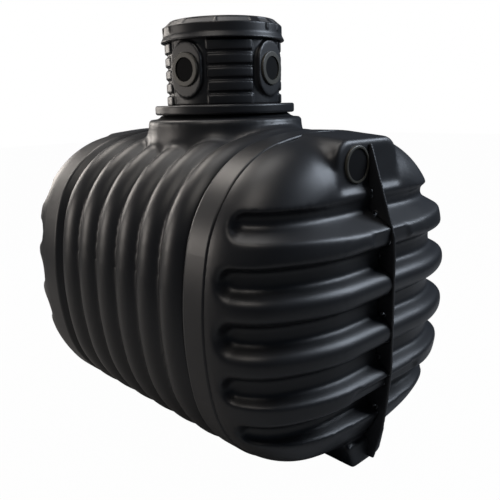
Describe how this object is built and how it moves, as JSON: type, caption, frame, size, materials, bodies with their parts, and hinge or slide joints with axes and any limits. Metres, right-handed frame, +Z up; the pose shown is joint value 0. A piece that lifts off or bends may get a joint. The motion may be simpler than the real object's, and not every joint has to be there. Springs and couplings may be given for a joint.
{
  "type": "underground water tank",
  "caption": "Ribbed polyethylene underground water tank, lying down, with grooved domed ends, a turret with four pipe seals and a lift-off lid.",
  "frame": {"origin": "on the floor under the middle of the barrel, between the soles of the two feet", "axes": "+X along the barrel to the end whose port shows in the picture, +Z up, so -Y is the long side that shows"},
  "size_m": [2.328, 1.6852, 2.3],
  "materials": {
    "polyethylene": "satin",
    "rubber": "matt"
  },
  "bodies": {
    "tank": {"barrel_rib_1": "polyethylene", "barrel_rib_2": "polyethylene", "barrel_rib_3": "polyethylene", "barrel_rib_4": "polyethylene", "barrel_rib_5": "polyethylene", "barrel_rib_6": "polyethylene", "front_band": "polyethylene", "rear_band": "polyethylene", "neck": "polyethylene", "collar": "polyethylene", "turret": "polyethylene", "turret_seal_1": "rubber", "turret_plug_1": "rubber", "turret_seal_2": "rubber", "turret_plug_2": "rubber", "turret_seal_3": "rubber", "turret_plug_3": "rubber", "turret_seal_4": "rubber", "turret_plug_4": "rubber", "front_inlet_seal": "rubber", "front_inlet_plug": "rubber", "rear_inlet_seal": "rubber", "rear_inlet_plug": "rubber", "front_end_keel": "polyethylene", "front_end_rib_4": "polyethylene", "front_end_rib_3": "polyethylene", "front_end_rib_2": "polyethylene", "front_end_rib_1": "polyethylene", "front_end_crown": "polyethylene", "front_inlet_box": "polyethylene", "front_web": "polyethylene", "front_foot": "polyethylene", "rear_end_keel": "polyethylene", "rear_end_rib_4": "polyethylene", "rear_end_rib_3": "polyethylene", "rear_end_rib_2": "polyethylene", "rear_end_rib_1": "polyethylene", "rear_end_crown": "polyethylene", "rear_inlet_box": "polyethylene", "rear_web": "polyethylene", "rear_foot": "polyethylene"},
    "lid": {"lid": "polyethylene"}
  },
  "joints": [
    {"name": "lid_lift", "type": "slide", "parent": "tank", "child": "lid", "axis": [0, 0, 1], "range_m": [0, 0.25]}
  ]
}
